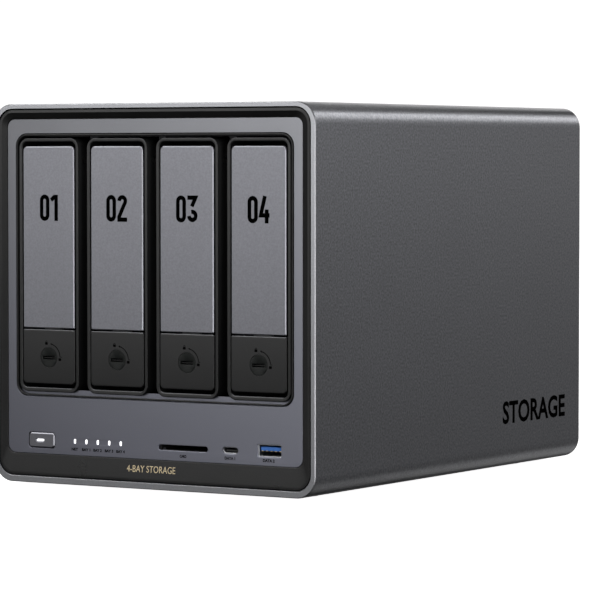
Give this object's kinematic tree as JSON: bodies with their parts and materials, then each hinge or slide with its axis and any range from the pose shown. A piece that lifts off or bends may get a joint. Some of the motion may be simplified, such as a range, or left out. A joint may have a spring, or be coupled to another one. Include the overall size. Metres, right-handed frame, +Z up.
{
  "type": "nas enclosure",
  "caption": "Desktop network storage enclosure: metal shell with lockable upright slide-out drive trays, front sockets and status lights, and a rear fan.",
  "frame": {"origin": "middle of the base, level with the underside of the feet", "axes": "+X to the right seen from the front, +Y towards the back (the front faces -Y), +Z up"},
  "size_m": [0.176, 0.257, 0.178],
  "materials": {
    "shell_metal": "space grey anodised, fine blasted grain, satin",
    "panel_metal": "grey anodised, smooth satin",
    "plate_metal": "grey anodised, fine blasted grain, bright cut edges",
    "bezel_plastic": "black, fine spark texture",
    "tray_plastic": "black, fine texture, soft sheen",
    "lock_metal": "black, satin",
    "button_metal": "grey anodised, bright cut edge",
    "light_plastic": "white diffuser, lit",
    "socket_metal": "nickel plated sheet",
    "socket_plastic": "black moulded",
    "blue_plastic": "blue moulded",
    "cage_steel": "dark grey powder coat",
    "board_green": "circuit board with green solder mask",
    "heat_sink_metal": "extruded, bare",
    "fan_plastic": "black moulded",
    "rear_metal": "dark grey powder coat",
    "filter_mesh": "black mesh in a flat frame",
    "screw_steel": "black nickel",
    "foot_rubber": "black, matte"
  },
  "bodies": {
    "chassis": {"backplane_board": "board_green", "bay_rim": "tray_plastic", "bottom_cover": "shell_metal", "bottom_cover_screw_1": "screw_steel", "bottom_cover_screw_2": "screw_steel", "card_reader": "socket_plastic", "drive_cage": "cage_steel", "drive_connector_1": "socket_plastic", "drive_connector_2": "socket_plastic", "drive_connector_3": "socket_plastic", "drive_connector_4": "socket_plastic", "fan_frame": "fan_plastic", "foot_1": "foot_rubber", "foot_2": "foot_rubber", "foot_3": "foot_rubber", "foot_4": "foot_rubber", "front_bezel": "bezel_plastic", "front_io_board": "board_green", "front_panel": "panel_metal", "heat_sink": "heat_sink_metal", "lan_port_1": "socket_metal", "lan_port_2": "socket_metal", "main_board": "board_green", "memory_module": "board_green", "outer_shell": "shell_metal", "power_inlet": "socket_plastic", "rear_panel": "rear_metal", "rear_usb_port": "socket_metal", "ssd_module": "board_green", "status_light_guide": "light_plastic", "usb_a_port": "socket_metal", "usb_a_tongue": "blue_plastic", "usb_c_port": "socket_metal", "video_port": "socket_metal"},
    "filter_body": {"dust_filter": "filter_mesh"},
    "fan_rotor_body": {"fan_rotor": "fan_plastic"},
    "power_button_body": {"power_button": "button_metal", "power_light": "light_plastic"},
    "tray_1": {"tray_1_frame": "tray_plastic"},
    "latch_1": {"tray_1_latch": "tray_plastic"},
    "handle_1": {"tray_1_lever": "tray_plastic", "tray_1_plate": "plate_metal"},
    "lock_1": {"tray_1_lock": "lock_metal"},
    "tray_2": {"tray_2_frame": "tray_plastic"},
    "latch_2": {"tray_2_latch": "tray_plastic"},
    "handle_2": {"tray_2_lever": "tray_plastic", "tray_2_plate": "plate_metal"},
    "lock_2": {"tray_2_lock": "lock_metal"},
    "tray_3": {"tray_3_frame": "tray_plastic"},
    "latch_3": {"tray_3_latch": "tray_plastic"},
    "handle_3": {"tray_3_lever": "tray_plastic", "tray_3_plate": "plate_metal"},
    "lock_3": {"tray_3_lock": "lock_metal"},
    "tray_4": {"tray_4_frame": "tray_plastic"},
    "latch_4": {"tray_4_latch": "tray_plastic"},
    "handle_4": {"tray_4_lever": "tray_plastic", "tray_4_plate": "plate_metal"},
    "lock_4": {"tray_4_lock": "lock_metal"}
  },
  "joints": [
    {"name": "tray_1_slide", "type": "slide", "parent": "chassis", "child": "tray_1", "axis": [0, -1, 0], "range_m": [0, 0.19]},
    {"name": "handle_1_swing", "type": "hinge", "parent": "tray_1", "child": "handle_1", "pos_m": [-0.05752, -0.12145, 0.152], "axis": [-1, 0, 0], "range_deg": [0, 35]},
    {"name": "latch_1_press", "type": "slide", "parent": "tray_1", "child": "latch_1", "axis": [0, 1, 0], "range_m": [0, 0.0025], "stiffness_N_per_m": 400, "springref_m": -0.001},
    {"name": "lock_1_turn", "type": "hinge", "parent": "latch_1", "child": "lock_1", "pos_m": [-0.05752, -0.12725, 0.0606], "axis": [0, -1, 0], "range_deg": [0, 90]},
    {"name": "tray_2_slide", "type": "slide", "parent": "chassis", "child": "tray_2", "axis": [0, -1, 0], "range_m": [0, 0.19]},
    {"name": "handle_2_swing", "type": "hinge", "parent": "tray_2", "child": "handle_2", "pos_m": [-0.01918, -0.12145, 0.152], "axis": [-1, 0, 0], "range_deg": [0, 35]},
    {"name": "latch_2_press", "type": "slide", "parent": "tray_2", "child": "latch_2", "axis": [0, 1, 0], "range_m": [0, 0.0025], "stiffness_N_per_m": 400, "springref_m": -0.001},
    {"name": "lock_2_turn", "type": "hinge", "parent": "latch_2", "child": "lock_2", "pos_m": [-0.01918, -0.12725, 0.0606], "axis": [0, -1, 0], "range_deg": [0, 90]},
    {"name": "tray_3_slide", "type": "slide", "parent": "chassis", "child": "tray_3", "axis": [0, -1, 0], "range_m": [0, 0.19]},
    {"name": "handle_3_swing", "type": "hinge", "parent": "tray_3", "child": "handle_3", "pos_m": [0.01918, -0.12145, 0.152], "axis": [-1, 0, 0], "range_deg": [0, 35]},
    {"name": "latch_3_press", "type": "slide", "parent": "tray_3", "child": "latch_3", "axis": [0, 1, 0], "range_m": [0, 0.0025], "stiffness_N_per_m": 400, "springref_m": -0.001},
    {"name": "lock_3_turn", "type": "hinge", "parent": "latch_3", "child": "lock_3", "pos_m": [0.01918, -0.12725, 0.0606], "axis": [0, -1, 0], "range_deg": [0, 90]},
    {"name": "tray_4_slide", "type": "slide", "parent": "chassis", "child": "tray_4", "axis": [0, -1, 0], "range_m": [0, 0.19]},
    {"name": "handle_4_swing", "type": "hinge", "parent": "tray_4", "child": "handle_4", "pos_m": [0.05752, -0.12145, 0.152], "axis": [-1, 0, 0], "range_deg": [0, 35]},
    {"name": "latch_4_press", "type": "slide", "parent": "tray_4", "child": "latch_4", "axis": [0, 1, 0], "range_m": [0, 0.0025], "stiffness_N_per_m": 400, "springref_m": -0.001},
    {"name": "lock_4_turn", "type": "hinge", "parent": "latch_4", "child": "lock_4", "pos_m": [0.05752, -0.12725, 0.0606], "axis": [0, -1, 0], "range_deg": [0, 90]},
    {"name": "power_button_press", "type": "slide", "parent": "chassis", "child": "power_button_body", "axis": [0, 1, 0], "range_m": [0, 0.0008], "stiffness_N_per_m": 800, "springref_m": -0.0005},
    {"name": "fan_spin", "type": "hinge", "parent": "chassis", "child": "fan_rotor_body", "pos_m": [0, 0.0955, 0.104], "axis": [0, 1, 0], "continuous": true},
    {"name": "filter_pull", "type": "slide", "parent": "chassis", "child": "filter_body", "axis": [0, 1, 0], "range_m": [0, 0.03]}
  ]
}
